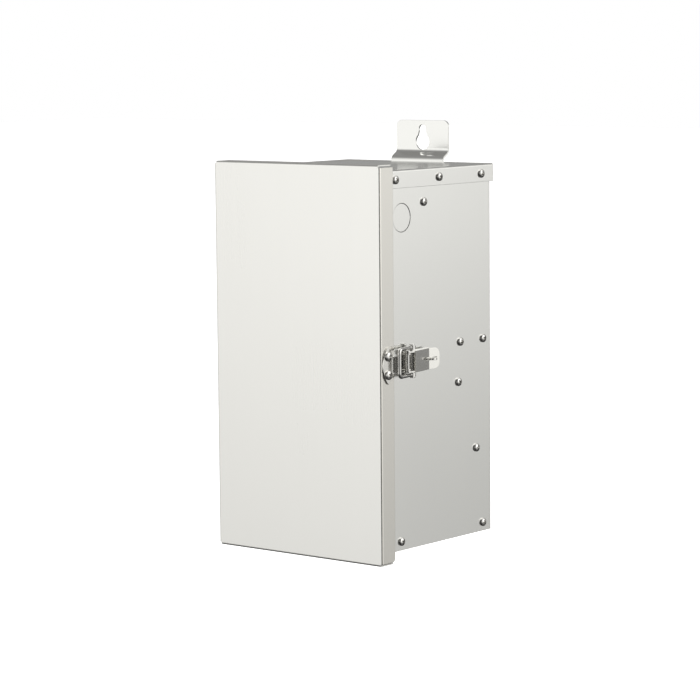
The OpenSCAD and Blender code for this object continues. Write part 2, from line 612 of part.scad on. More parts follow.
// ---- Small controls ----
module rocker_bezel() color("black") difference() {
    union() {
        along_y(right_col, panel_y, rocker_z) rounded_plate(24, 18, 1.5, 2);
        block([right_col - 10, panel_y - 0.2, rocker_z - 7], [right_col + 10, panel_y + 20, rocker_z + 7]);
    }
    block([right_col - 8.6, panel_y - 3, rocker_z - 5.6], [right_col + 8.6, panel_y + 7, rocker_z + 5.6]);
    translate([right_col, rocker_axis_y, rocker_z]) cylinder(h = 13, r = 1.2 + run_slack, center = true);
}
rocker_axis_y = panel_y + 1.6;
module rocker_paddle() color("dimgray") translate([right_col, rocker_axis_y, rocker_z])
    rotate([0, 0, rocker_tilt]) {
    cylinder(h = 12.4, r = 1.2, center = true);
    linear_extrude(10.6, center = true)
        polygon([[-7.6, -2.2], [-3.5, -3.2], [0, -3.5], [3.5, -3.2], [7.6, -2.2], [6.8, 1.6], [0, 3.6],
            [-6.8, 1.6]]);
}
module breaker_body() color("black") difference() {
    union() {
        block([right_col - 8, panel_y + panel_t + slack, breaker_z - 8.5],
            [right_col + 8, panel_y + 30, breaker_z + 8.5]);
        along_y(right_col, panel_y + 3, breaker_z) cylinder(h = 8.5, r = 5);
        for (s = [-1, 1]) block([right_col - 3, panel_y + 29, breaker_z + 5 * s - 0.4],
            [right_col + 3, panel_y + 38, breaker_z + 5 * s + 0.4]);
    }
    along_y(right_col, panel_y + 8, breaker_z) cylinder(h = 20, r = 3.4 + run_slack);
    along_y(right_col, panel_y + 8, breaker_z) cylinder(h = 6.4, r = 4.7);
}
module breaker_nut() color("silver") along_y(right_col, panel_y, breaker_z) difference() {
    cylinder(h = 2.4, r = 8, $fn = 6);
    translate([0, 0, -1]) cylinder(h = 5, r = 5.02);
}
module breaker_button() color("red") along_y(right_col, panel_y + 7.6, breaker_z) {
    cylinder(h = 2, r = 4.3);
    cylinder(h = 15.6, r = 3.4);
    translate([0, 0, 15.5]) cylinder(h = 1, r1 = 3.4, r2 = 2.8);
}
module pilot_bezel() color("silver") along_y(right_col, panel_y, pilot_z) difference() {
    union() {
        cylinder(h = 1.6, r = 5.6);
        translate([0, 0, -12]) cylinder(h = 13, r = 4.1);
    }
    translate([0, 0, -6]) cylinder(h = 10, r = 3.1);
}
module pilot_lens() color("limegreen") along_y(right_col, panel_y, pilot_z) {
    translate([0, 0, -5.9]) cylinder(h = 8, r = 3);
    translate([0, 0, 2]) cylinder(h = 1.2, r1 = 3, r2 = 1.6);
}
module photocell_socket() color("black") difference() {
    union() {
        along_y(right_col, panel_y, socket_z) rounded_plate(23, 16, 1.5, 2);
        block([right_col - 9, panel_y - 0.2, socket_z - 6], [right_col + 9, panel_y + 12, socket_z + 6]);
    }
    for (x = [-4, 4]) along_y(right_col + x, panel_y + 8, socket_z) cylinder(h = 14, r = 1.7);
}

// ---- Transformer ----
module transformer_bracket() color("lightgray") difference() {
    union() {
        block([-pan_x, bracket_y, 24], [pan_x, bracket_y + bracket_t, 142]);
        for (s = [-1, 1]) translate([s * (pan_x - bracket_t / 2), 0, 0]) rotate([90, 0, 90])
            linear_extrude(bracket_t, center = true)
                polygon([[bracket_y + bracket_t, 52], [bracket_screw[1][0] - 7, 52],
                [bracket_screw[1][0] - 7, 88], [bracket_screw[0][0] - 7, 106], [bracket_screw[0][0] - 7, 136],
                [bracket_y + bracket_t, 136]]);
    }
    for (s = bracket_screw) cross_hole(s[0], s[1], screw_r + run_slack);
    along_y(0, bracket_y + 5, toroid_z) cylinder(h = 10, r = 3.1);
}
module chassis_screws() color("silver") {
    side_screws(shelf_screw_y, shelf_screw_z);
    side_screws([panel_screw[0]], panel_screw[1]);
    for (s = bracket_screw) side_screws([s[0]], s[1]);
}
module toroid_coil() color("goldenrod") along_y(0, coil_y, toroid_z) rotate_extrude($fn = 96)
    translate([(toroid_r + 20) / 2, toroid_h / 2]) rounded_rect(toroid_r - 20, toroid_h, 9);
module toroid_pads() color("black") for (y = [bracket_y, coil_y - toroid_h]) along_y(0, y, toroid_z)
    difference() {
    cylinder(h = pad_t, r = toroid_r - 12);
    translate([0, 0, -1]) cylinder(h = pad_t + 2, r = 8);
}
module toroid_washer() color("silver") along_y(0, washer_y, toroid_z) difference() {
    cylinder(h = washer_t, r = toroid_r - 14);
    translate([0, 0, -1]) cylinder(h = 5, r = 3.1);
    for (a = [0:60:300]) rotate([0, 0, a]) translate([27, 0, -1]) cylinder(h = 5, r = 4);
}
module toroid_bolt() color("silver") along_y(0, washer_y - washer_t, toroid_z) {
    cylinder(h = 4, r = 5.6, $fn = 6);
    translate([0, 0, washer_y - washer_t - bracket_y - bracket_t - 6])
        cylinder(h = bracket_y + bracket_t + 6.2 - washer_y + washer_t, r = 3);
}
module toroid_nut() color("silver") along_y(0, bracket_y + bracket_t + 5, toroid_z) difference() {
    cylinder(h = 5, r = 5.6, $fn = 6);
    translate([0, 0, -1]) cylinder(h = 7, r = 3.02);
}

// ---- Terminals ----
block_w = poles * pitch + 8;
module terminal_bracket() color("lightgray") difference() {
    union() {
        block([-60, term_y, sheet_t], [60, term_y + panel_t, 74]);
        block([-60, term_y, sheet_t], [60, term_y + 18, sheet_t + panel_t]);
    }
    for (x = term_foot_x) translate([x, term_y + 12, 0]) cylinder(h = 5, r = screw_r + run_slack);
    for (s = [-1, 1]) along_y(s * (block_w / 2 + 3.5), term_y + 3, (term_z[0] + term_z[1]) / 2)
        cylinder(h = 6, r = 1.75);
}
module terminal_block() color("black") difference() {
    union() {
        block([-block_w / 2, term_y, term_z[0]], [block_w / 2, term_y - 9, term_z[1]]);
        for (i = [0:poles]) block([(i - poles / 2) * pitch - 1, term_y - 8.9, term_z[0]],
            [(i - poles / 2) * pitch + 1, term_y - 16, term_z[1]]);
        for (s = [-1, 1]) block([s * block_w / 2, term_y, term_z[0] + 7],
            [s * (block_w / 2 + 7), term_y - 4, term_z[1] - 7]);
    }
    for (s = [-1, 1]) along_y(s * (block_w / 2 + 3.5), term_y + 1, (term_z[0] + term_z[1]) / 2)
        cylinder(h = 8, r = 1.8);
}
module small_screws() color("silver") {
    for (s = [-1, 1]) along_y(s * (block_w / 2 + 3.5), term_y - 4, (term_z[0] + term_z[1]) / 2)
        pan_screw(7, 1.7, 3, 2);
    for (x = term_foot_x) translate([x, term_y + 12, sheet_t + panel_t]) pan_screw(4, 1.7, 3, 2);
}
// Binding screws on their plates
module terminal_screws() color("gold") {
    for (i = [0:poles - 1]) translate([(i - poles / 2 + 0.5) * pitch, term_y - 9, 0]) {
        block([-5, 0, term_z[0] + 1], [5, -0.8, term_z[1] - 1]);
        for (z = [term_z[0] + 6, term_z[1] - 6]) along_y(0, -0.8, z) difference() {
            cylinder(h = 2.6, r = 3.6);
            translate([-4, -0.5, 1.5]) cube([8, 1, 3]);
        }
    }
}

// ---- Bottom entries ----
module cord_gland() color("dimgray") translate([gland[0], gland[1], 0]) difference() {
    union() {
        translate([0, 0, -16]) cylinder(h = 10.5, r1 = 7.4, r2 = 9.6);
        translate([0, 0, -5.6]) cylinder(h = 5.6, r = 11.8, $fn = 6);
        cylinder(h = 11, r = gland_r - run_slack);
    }
    translate([0, 0, -18]) cylinder(h = 32, r = cord_r);
}
module gland_nut() color("dimgray") translate([gland[0], gland[1], sheet_t]) difference() {
    cylinder(h = 5, r = 11.5, $fn = 6);
    translate([0, 0, -1]) cylinder(h = 8, r = gland_r);
}
module outlet_bushings() color("black") for (p = outlet) translate([p[0], p[1], 0]) difference() {
    union() {
        translate([0, 0, -2.2]) cylinder(h = 2.2, r = outlet_r + 2.2);
        cylinder(h = 7.8, r = outlet_r - run_slack);
        translate([0, 0, sheet_t + run_slack]) cylinder(h = 2, r1 = outlet_r + 0.7, r2 = outlet_r - 0.3);
    }
    translate([0, 0, -4]) cylinder(h = 14, r = outlet_r - 2.4);
}
module ground_lug() color("gold") translate([ground[0], ground[1], sheet_t]) {
    difference() {
        translate([-5, -7, 0]) cube([10, 14, 9]);
        translate([0, -8, 4.6]) rotate([-90, 0, 0]) cylinder(h = 16, r = 2.4);
        translate([0, 3.2, 4]) cylinder(h = 8, r = 2.05);
        translate([0, -2.6, -1]) cylinder(h = 12, r = screw_r + run_slack);
    }
    translate([0, 3.2, 6.9]) difference() {
        cylinder(h = 4.6, r = 2);
        translate([-3, -0.4, 3.6]) cube([6, 0.8, 2]);
    }
}

// ---- Leads: each follows points chosen along its route ----
coil_front = coil_y - toroid_h;
plate_front = term_y - 9.8;
lead_x = [-30, -10, 10, 30];
function pole_x(i) = (i - poles / 2 + 0.5) * pitch;
module secondary_leads() for (i = [0:3]) color(["black", "red", "royalblue", "gold"][i]) tube([
    [lead_x[i], coil_front - 0.6, toroid_z + sqrt(2500 - lead_x[i] * lead_x[i])],
    [lead_x[i], coil_front - 7, toroid_z + sqrt(2500 - lead_x[i] * lead_x[i]) + 1],
    [(lead_x[i] + 2 * pole_x(i + 1)) / 3, term_y + 8, 98],
    [pole_x(i + 1), term_y + 2, 86],
    [pole_x(i + 1), term_y - 6, 81],
    [pole_x(i + 1), plate_front - lead_r - 0.1, 71],
    [pole_x(i + 1), plate_front - lead_r - 0.1, term_z[1] - 2]], lead_r);
module primary_leads() for (i = [0:1]) color(["white", "black"][i]) tube([
    [(toroid_r + 2.2) * cos(48 - 6 * i), coil_y - 12, toroid_z + (toroid_r + 2.2) * sin(48 - 6 * i)],
    [46 + 7 * i, coil_y - 17, 132 - 4 * i],
    [grommet_x - 2 + 4 * i, grommet_y, shelf_z - 8],
    [grommet_x - 2 + 4 * i, grommet_y, shelf_z + 12],
    [grommet_x - 4 + 6 * i, grommet_y - 16, breaker_z - 34],
    [right_col - 4 + 8 * i, panel_y + 50, breaker_z - 10 + 10 * i],
    [right_col, panel_y + 38.6, breaker_z - 5 + 10 * i]], lead_r);
module supply_leads() for (i = [0:1]) color(["white", "black"][i]) tube([
    [gland[0], gland[1] - 2 + 4 * i, 12],
    [gland[0] - 1, gland[1] - 2 + 4 * i, 20],
    [-62, grommet_y - 2 + 4 * i, 45],
    [-62, grommet_y - 2 + 4 * i, 120],
    [-grommet_x - 2 + 4 * i, grommet_y, shelf_z - 14],
    [-grommet_x - 2 + 4 * i, grommet_y, shelf_z + 12],
    [timer[0] - 14 + 10 * i, panel_y + 44, timer[1] - 30],
    [timer[0] - 14 + 10 * i, panel_y + 34, timer[1] - 20],
    [timer[0] - 14 + 10 * i, panel_y + 26.2, timer[1] - 20]], lead_r);
module ground_lead() color("green") tube([
    [ground[0], ground[1] + 3, sheet_t + 4.6],
    [ground[0], ground[1] + 11, sheet_t + 4.6],
    [ground[0] + 10, ground[1] + 18, 14],
    [ground[0] + 12, ground[1] + 34, 50],
    [ground[0] + 10.5, ground[1] + 52, 105],
    [grommet_x + 3, grommet_y - 8, shelf_z - 20],
    [grommet_x, grommet_y - 4, shelf_z - 5],
    [grommet_x, grommet_y - 4, shelf_z + 8],
    [grommet_x + 11, grommet_y - 30, shelf_z + 16],
    [grommet_x + 11, panel_y + 10, shelf_z + 16],
    [grommet_x + 11, panel_y + panel_t + 0.2, shelf_z + 16]], lead_r, 8, 3);

module placed() translate([0, 0, -key_z]) children();

placed() case_wrap();
placed() top_cap();
placed() cap_screws();
placed() bottom_pan();
placed() bottom_screws();
placed() hanger_bracket();
placed() hanger_rivets();
placed() rear_standoffs();
placed() knockout_slug();
placed() door_shell();
placed() door_gasket();
placed() door_label();
placed() hinge_case_leaves();
placed() hinge_door_leaves();
placed() hinge_pins();
placed() hinge_case_rivets();
placed() hinge_door_rivets();
placed() latch_base();
placed() latch_base_rivets();
placed() latch_lever();
placed() latch_lever_pin();
placed() latch_bail();
placed() latch_bail_pin();
placed() strike_plate();
placed() strike_screws();
placed() divider_shelf();
placed() shelf_grommets();
placed() control_panel();
placed() chassis_screws();
placed() timer_housing();
placed() timer_dial();
placed() timer_switch();
placed() rocker_bezel();
placed() rocker_paddle();
placed() breaker_body();
placed() breaker_nut();
placed() breaker_button();
placed() pilot_bezel();
placed() pilot_lens();
placed() photocell_socket();
placed() transformer_bracket();
placed() toroid_coil();
placed() toroid_pads();
placed() toroid_washer();
placed() toroid_bolt();
placed() toroid_nut();
placed() terminal_bracket();
placed() terminal_block();
placed() terminal_screws();
placed() small_screws();
placed() cord_gland();
placed() gland_nut();
placed() outlet_bushings();
placed() ground_lug();
placed() secondary_leads();
placed() primary_leads();
placed() supply_leads();
placed() ground_lead();
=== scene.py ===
import json
import math

import bmesh
import bpy
from mathutils import Matrix, Vector


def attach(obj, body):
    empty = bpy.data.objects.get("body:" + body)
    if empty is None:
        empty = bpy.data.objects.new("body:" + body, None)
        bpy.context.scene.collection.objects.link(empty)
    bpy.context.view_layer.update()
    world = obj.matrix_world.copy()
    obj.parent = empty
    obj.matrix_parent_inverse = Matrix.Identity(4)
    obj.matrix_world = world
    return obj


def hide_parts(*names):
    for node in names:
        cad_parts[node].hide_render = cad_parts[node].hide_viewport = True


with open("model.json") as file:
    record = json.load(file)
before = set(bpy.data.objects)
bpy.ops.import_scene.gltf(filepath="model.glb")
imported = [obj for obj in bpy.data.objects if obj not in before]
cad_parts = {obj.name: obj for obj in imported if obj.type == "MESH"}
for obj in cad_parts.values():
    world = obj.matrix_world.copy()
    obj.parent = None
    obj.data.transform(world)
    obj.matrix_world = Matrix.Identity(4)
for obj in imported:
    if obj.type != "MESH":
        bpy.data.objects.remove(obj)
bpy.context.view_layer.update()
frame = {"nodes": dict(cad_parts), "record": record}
nodes = frame["nodes"]

MM = 0.001
KEY_Z = 307.0  # the origin's height above the case's bottom, in mm
SETBACK = 2.5  # from the plane that y is given from back to the wall
HALF_W = 73.0  # half of the case's width
LATCH_Z = 145.7
STRIKE_Z = 144.5
HINGE_RIVET_Z = [z + 25 + s for z in (45, 205) for s in (-15, 15)]
TERM_Y = -92.0  # front face of the terminal bracket
PLATE_FRONT_Y = TERM_Y - 9.8
PLATE_Z = 50.0
POLES = 6
PITCH = 15.0
LEAD_R = 1.5
COIL_R, COIL_CORE, COIL_H, COIL_ROUND = 57.0, 20.0, 50.0, 9.0
COIL_Z, COIL_BACK_Y = 82.0, -18.0
TIMER = (-26.0, 226.0)  # the dial's middle, as (x, z)
HOURS = 24
FACE_Z = 5.4  # the printed face, in front of the dial's back


def at(x, y, z):
    """A point given from the case's middle, a plane 7 mm behind its back, and its bottom, in mm."""
    return Vector((x, y - SETBACK, z - KEY_Z)) * MM


# ---------------------------------------------------------------- materials


class Shader:
    """One node material. Constants are set on the shader's own sockets."""

    def __init__(self, name, color, metallic=0.0, roughness=0.5, **sockets):
        self.mat = bpy.data.materials.new(name)
        self.mat.use_nodes = True
        self.tree = self.mat.node_tree
        self.bsdf = self.tree.nodes["Principled BSDF"]
        self.color = color
        self.bsdf.inputs["Metallic"].default_value = metallic
        self.bsdf.inputs["Roughness"].default_value = roughness
        for key, value in sockets.items():
            self.bsdf.inputs[key.replace("_", " ")].default_value = value
        self.coords = self.node("ShaderNodeTexCoord").outputs["Object"]
        self.height = None

    def node(self, kind, **settings):
        n = self.tree.nodes.new(kind)
        for key, value in settings.items():
            setattr(n, key, value)
        return n

    def link(self, a, b):
        self.tree.links.new(a, b)

    def scaled(self, scale, turn=(0, 0, 0)):
        m = self.node("ShaderNodeMapping")
        m.inputs["Scale"].default_value = scale
        m.inputs["Rotation"].default_value = turn
        self.link(self.coords, m.inputs["Vector"])
        return m.outputs["Vector"]

    def noise(self, scale, detail=3.0, rough=0.55, vector=None):
        n = self.node("ShaderNodeTexNoise")
        n.inputs["Scale"].default_value = 1.0
        n.inputs["Detail"].default_value = detail
        n.inputs["Roughness"].default_value = rough
        self.link(vector or self.scaled(scale), n.inputs["Vector"])
        return n.outputs["Fac"]

    def spread(self, value, low, high, from_low=0.3, from_high=0.7):
        r = self.node("ShaderNodeMapRange")
        r.inputs["From Min"].default_value = from_low
        r.inputs["From Max"].default_value = from_high
        r.inputs["To Min"].default_value = low
        r.inputs["To Max"].default_value = high
        self.link(value, r.inputs["Value"])
        return r.outputs["Result"]

    def add(self, a, b):
        m = self.node("ShaderNodeMath", operation="ADD")
        self.link(a, m.inputs[0])
        self.link(b, m.inputs[1])
        return m.outputs[0]

    def times(self, a, b):
        m = self.node("ShaderNodeMath", operation="MULTIPLY")
        self.link(a, m.inputs[0])
        self.link(b, m.inputs[1])
        return m.outputs[0]

    def tint(self, fac, dark, light=None):
        """Base colour that runs from dark to light as fac goes from 0 to 1."""
        m = self.node("ShaderNodeMix", data_type="RGBA")
        m.inputs["A"].default_value = (*dark, 1)
        m.inputs["B"].default_value = (*(light or self.color), 1)
        self.link(fac, m.inputs["Factor"])
        self.link(m.outputs["Result"], self.bsdf.inputs["Base Color"])

    def roughen(self, value):
        self.link(value, self.bsdf.inputs["Roughness"])

    def bump(self, value, strength, distance, edge=0.0):
        b = self.node("ShaderNodeBump")
        b.inputs["Strength"].default_value = strength
        b.inputs["Distance"].default_value = distance
        self.link(value, b.inputs["Height"])
        if edge:
            e = self.node("ShaderNodeBevel", samples=4)
            e.inputs["Radius"].default_value = edge
            self.link(e.outputs["Normal"], b.inputs["Normal"])
        self.link(b.outputs["Normal"], self.bsdf.inputs["Normal"])


def brushed(name, color, rough, grain=(2600, 2600, 14), depth=0.03, aniso=0.35, edge=0.00025, lip=None):
    """Rolled sheet with long fine scratches along one axis, broad mill lines and soft smudges.

    lip is (x, tint): beyond that x, in metres, a folded lip is tinted a little darker and warmer.
    """
    s = Shader(name, color, metallic=1.0, roughness=rough, Anisotropic=aniso)
    fine = s.noise(grain, detail=4.0, rough=0.7)
    broad = s.noise(tuple(g * 0.07 for g in grain), detail=2.0)
    smudge = s.noise((14, 14, 9), detail=3.0, rough=0.6)
    lines = s.add(s.spread(fine, 0, 0.75), s.spread(broad, 0, 0.25))
    s.tint(s.add(s.spread(lines, 0, 0.6), s.spread(smudge, 0, 0.4)), tuple(c * 0.98 for c in color))
    if lip:
        split = s.node("ShaderNodeSeparateXYZ")
        s.link(s.coords, split.inputs[0])
        # beyond lip[0] the base colour is multiplied by the lip's tint, a little darker and warmer
        lip_tint = s.node("ShaderNodeMix", data_type="RGBA", blend_type="MULTIPLY")
        s.link(s.spread(split.outputs["X"], 0, 1, lip[0], lip[0] + 0.0005), lip_tint.inputs["Factor"])
        s.link(s.bsdf.inputs["Base Color"].links[0].from_socket, lip_tint.inputs["A"])
        lip_tint.inputs["B"].default_value = (*lip[1], 1)
        s.link(lip_tint.outputs["Result"], s.bsdf.inputs["Base Color"])
    s.roughen(s.add(s.spread(lines, rough - 0.02, rough + 0.015), s.spread(smudge, -0.01, 0.015)))
    s.bump(lines, depth, 0.00001, edge)
    return s.mat


def polished(name, color, rough=0.1, edge=0.0001):
    """Plated hardware: fine orange peel and light handling marks."""
    s = Shader(name, color, metallic=1.0, roughness=rough)
    peel = s.noise((900, 900, 900), detail=2.0)
    marks = s.noise((160, 160, 420), detail=5.0, rough=0.7)
    s.tint(s.spread(marks, 0, 1), tuple(c * 0.86 for c in color))
    s.roughen(s.spread(marks, rough - 0.02, rough + 0.07))
    s.bump(peel, 0.10, 0.00002, edge)
    return s.mat


def zinc(name, color):
    """Galvanised sheet with its crystal spangle."""
    s = Shader(name, color, metallic=1.0, roughness=0.4)
    v = s.node("ShaderNodeTexVoronoi")
    v.inputs["Scale"].default_value = 1.0
    s.link(s.scaled((170, 170, 170)), v.inputs["Vector"])
    cell = s.node("ShaderNodeSeparateColor")
    s.link(v.outputs["Color"], cell.inputs["Color"])
    s.tint(s.spread(cell.outputs["Red"], 0, 1, 0, 1), tuple(c * 0.72 for c in color))
    s.roughen(s.spread(cell.outputs["Green"], 0.30, 0.48, 0, 1))
    s.bump(s.noise((700, 700, 700)), 0.10, 0.00004, 0.0002)
    return s.mat


def plastic(name, color, rough=0.45, grain=1500, depth=0.12, coat=0.0, edge=0.0003, dark=0.8):
    """Moulded plastic: spark-eroded grain, faint flow marks and a slightly polished edge."""
    s = Shader(name, color, roughness=rough, Coat_Weight=coat, Coat_Roughness=0.15)
    fine = s.noise((grain, grain, grain), detail=2.0)
    flow = s.noise((28, 28, 40), detail=3.0)
    s.tint(s.spread(flow, 0, 1), tuple(c * dark for c in color))
    s.roughen(s.spread(flow, rough - 0.05, rough + 0.06))
    s.bump(fine, depth, 0.00005, edge)
    return s.mat


def rubber(name, color, rough=0.75, pores=900, depth=0.3):
    s = Shader(name, color, roughness=rough, Specular_IOR_Level=0.3)
    pore = s.noise((pores, pores, pores), detail=4.0, rough=0.7)
    dust = s.noise((40, 40, 40), detail=4.0)
    s.tint(s.spread(dust, 0, 1), tuple(c * 1.9 for c in color))
    s.roughen(s.spread(pore, rough - 0.08, rough + 0.1))
    s.bump(pore, depth, 0.0001, 0.0003)
    return s.mat


def powder(name, color):
    """Powder coat: a close pebbled skin."""
    s = Shader(name, color, roughness=0.5, Coat_Weight=0.15, Coat_Roughness=0.3)
    pebble = s.noise((650, 650, 650), detail=3.0)
    cloud = s.noise((22, 22, 22))
    s.tint(s.spread(cloud, 0, 1), tuple(c * 0.85 for c in color))
    s.roughen(s.spread(pebble, 0.42, 0.6))
    s.bump(pebble, 0.25, 0.0001, 0.0003)
    return s.mat


def enamel(name, color):
    """Enamelled copper wire under its varnish."""
    s = Shader(name, color, metallic=0.85, roughness=0.28, Coat_Weight=0.6, Coat_Roughness=0.12)
    pool = s.noise((120, 120, 120), detail=4.0)
    s.tint(s.spread(pool, 0, 1), tuple(c * 0.6 for c in color))
    s.roughen(s.spread(pool, 0.2, 0.38))
    s.bump(s.noise((600, 600, 600)), 0.1, 0.00005)
    return s.mat


def lamp_lens(name, color):
    s = Shader(name, color, roughness=0.12, Transmission_Weight=0.5, IOR=1.49)
    s.tint(s.spread(s.noise((300, 300, 300)), 0, 1), tuple(c * 0.7 for c in color))
    s.bump(s.noise((500, 500, 500)), 0.05, 0.00005)
    return s.mat


STEEL = (0.905, 0.905, 0.885)
MATERIALS = {
    "door_sheet": brushed("door steel", (0.90, 0.895, 0.873), 0.25, lip=(0.0738, (0.945, 0.93, 0.905))),
    "case_sheet": brushed("case steel", STEEL, 0.20),
    "cap_sheet": brushed("cap steel", (0.87, 0.868, 0.85), 0.16, edge=0.0005, grain=(2600, 14, 2600)),
    "hanger_steel": brushed("hanger steel", (0.86, 0.86, 0.845), 0.13, grain=(12, 900, 900), aniso=0.2),
    "latch_steel": brushed("latch steel", (0.85, 0.84, 0.81), 0.17, grain=(900, 30, 900), aniso=0.2,
                           edge=0.0003),
    "bright_steel": polished("bright steel", (0.80, 0.79, 0.77), 0.12),
    "galvanised": zinc("zinc-plated sheet", (0.66, 0.68, 0.69)),
    "panel_paint": powder("grey powder coat", (0.20, 0.21, 0.22)),
    "black_rubber": rubber("black rubber", (0.018, 0.018, 0.018)),
    "foam": rubber("foam strip", (0.03, 0.03, 0.032), 0.9, 1400, 0.5),
    "label_film": plastic("label film", (0.80, 0.80, 0.77), 0.35, 600, 0.03, edge=0, dark=0.96),
    "timer_plastic": plastic("timer housing", (0.55, 0.55, 0.50), 0.5),
    "dial_plastic": plastic("dial", (0.80, 0.79, 0.75), 0.35, 900, 0.04, 0.2),
    "orange_plastic": plastic("orange moulding", (0.75, 0.16, 0.02), 0.35, 900, 0.05, 0.2),
    "black_plastic": plastic("black moulding", (0.018, 0.018, 0.02), 0.42),
    "red_plastic": plastic("red button", (0.55, 0.015, 0.012), 0.25, 900, 0.04, 0.4),
    "lens": lamp_lens("green lens", (0.10, 0.62, 0.12)),
    "copper_winding": enamel("enamelled copper", (0.58, 0.20, 0.07)),
    "brass": brushed("brass", (0.83, 0.62, 0.30), 0.28, grain=(400, 400, 400), depth=0.05, aniso=0),
    "nylon": plastic("dark nylon", (0.035, 0.035, 0.04), 0.5),
}
LEADS = {
    "white": plastic("white lead", (0.78, 0.77, 0.72), 0.38, 500, 0.05, edge=0),
    "black": plastic("black lead", (0.015, 0.015, 0.016), 0.36, 500, 0.05, edge=0),
    "red": plastic("red lead", (0.55, 0.02, 0.015), 0.36, 500, 0.05, edge=0),
    "blue": plastic("blue lead", (0.02, 0.06, 0.42), 0.36, 500, 0.05, edge=0),
    "yellow": plastic("yellow lead", (0.80, 0.52, 0.03), 0.36, 500, 0.05, edge=0),
    "green": plastic("green lead", (0.02, 0.24, 0.05), 0.36, 500, 0.05, edge=0),
}
SLOT = {s["node"]: s["material_slot"] for s in frame["record"]["subparts"]}
for name, obj in nodes.items():
    if SLOT[name] in MATERIALS:
        obj.data.materials.clear()
        obj.data.materials.append(MATERIALS[SLOT[name]])


def roll_edges(name, width, segments=3, angle=40):
    """Rounds a node's sharp edges by width, in mm. The node's own mesh stays as it is."""
    m = nodes[name].modifiers.new("rolled edges", "BEVEL")
    m.width = width * MM
    m.segments = segments
    m.limit_method = "ANGLE"
    m.angle_limit = math.radians(angle)
    m.harden_normals = True


roll_edges("hanger_bracket", 0.7)
roll_edges("strike_plate", 0.3, 2)
roll_edges("latch_lever", 0.25, 2)

# ---------------------------------------------------------------- mesh helpers


def add_object(name, mesh, body, material):
    """A finished piece that rides on a body."""
    obj = bpy.data.objects.new(name, mesh)
    bpy.context.scene.collection.objects.link(obj)
    mesh.materials.clear()
    mesh.materials.append(material)
    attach(obj, body)
    return obj


def smooth(mesh, angle=35):
    for p in mesh.polygons:
        p.use_smooth = True
    mesh.set_sharp_from_angle(angle=math.radians(angle))
    return mesh


def to_mesh(name, bm):
    """The mesh of a bmesh, which is freed."""
    mesh = bpy.data.meshes.new(name)
    bm.to_mesh(mesh)
    bm.free()
    return mesh


def from_bmesh(name, bm, angle=35):
    """A smoothed mesh whose faces all point outwards."""
    bmesh.ops.recalc_face_normals(bm, faces=bm.faces)
    return smooth(to_mesh(name, bm), angle)


def helper(name, data):
    """An object that is only needed to work out a mesh."""
    obj = bpy.data.objects.new(name, data)
    bpy.context.scene.collection.objects.link(obj)
    return obj


def evaluated(base, *others):
    """The final mesh of a helper. It and the other helpers are deleted."""
    bpy.context.view_layer.update()
    mesh = bpy.data.meshes.new_from_object(base.evaluated_get(bpy.context.evaluated_depsgraph_get()))
    for obj in (base, *others):
        bpy.data.objects.remove(obj)
    return mesh


def lathe(profile, segments=48):
    """A closed solid turned about +Z from (radius, height) points, in mm, that start and end on the axis."""
    bm = bmesh.new()
    rings = []
    for r, z in profile:
        if r < 1e-6:
            rings.append([bm.verts.new((0, 0, z * MM))])
        else:
            rings.append([bm.verts.new((r * math.cos(t) * MM, r * math.sin(t) * MM, z * MM))
                          for t in (2 * math.pi * k / segments for k in range(segments))])
    for a, b in zip(rings, rings[1:]):
        for k in range(segments):
            j = (k + 1) % segments
            if len(a) == 1:
                bm.faces.new((a[0], b[k], b[j]))
            elif len(b) == 1:
                bm.faces.new((a[k], b[0], a[j]))
            else:
                bm.faces.new((a[k], b[k], b[j], a[j]))
    return bm


def dome(r, low, high, steps=9, power=2.1):
    """The upper half of a rounded head, from its rim to its middle."""
    return [(r * math.cos(t) ** (2 / power), low + (high - low) * math.sin(t) ** (2 / power))
            for t in (math.pi / 2 * k / steps for k in range(steps))] + [(0, high)]


def cut(mesh, cutters):
    """The mesh with each cutter taken out of it."""
    base = helper("cut", mesh)
    tools = [helper("tool", c) for c in cutters]
    for tool in tools:
        m = base.modifiers.new("cut", "BOOLEAN")
        m.operation = "DIFFERENCE"
        m.solver = "EXACT"
        m.object = tool
    return smooth(evaluated(base, *tools), 30)


def wedge(length, width, top, bottom, taper):
    """A tapered block for a driver recess, in mm."""
    bm = bmesh.new()
    corners = []
    for z, k in ((bottom, taper), (top, 1.0)):
        for sx, sy in ((-1, -1), (1, -1), (1, 1), (-1, 1)):
            corners.append(bm.verts.new((sx * length / 2 * k * MM, sy * width / 2 * k * MM, z * MM)))
    for f in ((3, 2, 1, 0), (4, 5, 6, 7), (0, 1, 5, 4), (1, 2, 6, 5), (2, 3, 7, 6), (3, 0, 4, 7)):
        bm.faces.new([corners[i] for i in f])
    bmesh.ops.recalc_face_normals(bm, faces=bm.faces)
    return to_mesh("wedge", bm)


def cross_recess(r, h):
    """Two tapered arms of a cross-head recess."""
    arms = []
    for a in (0, 90):
        arm = wedge(r * 1.35, r * 0.40, h + 0.6, h * 0.1, 0.6)
        arm.transform(Matrix.Rotation(math.radians(a), 4, "Z"))
        arms.append(arm)
    return arms


def pan_screw(r, h, shank_r, shank_l):
    """A cross-head pan screw with its head on z = 0."""
    profile = [(0, -shank_l), (shank_r * 0.7, -shank_l), (shank_r, -shank_l + 0.5)]
    z = -shank_l + 0.8
    while z < -1.6:
        profile += [(shank_r * 0.97, z), (shank_r * 0.78, z + 0.35)]
        z += 0.7
    profile += [(shank_r, -1.0), (shank_r, 0), (r * 0.97, 0), (r, 0.12)]
    profile += dome(r, 0.3 * h, h)
    return cut(from_bmesh("screw", lathe(profile)), cross_recess(r, h))


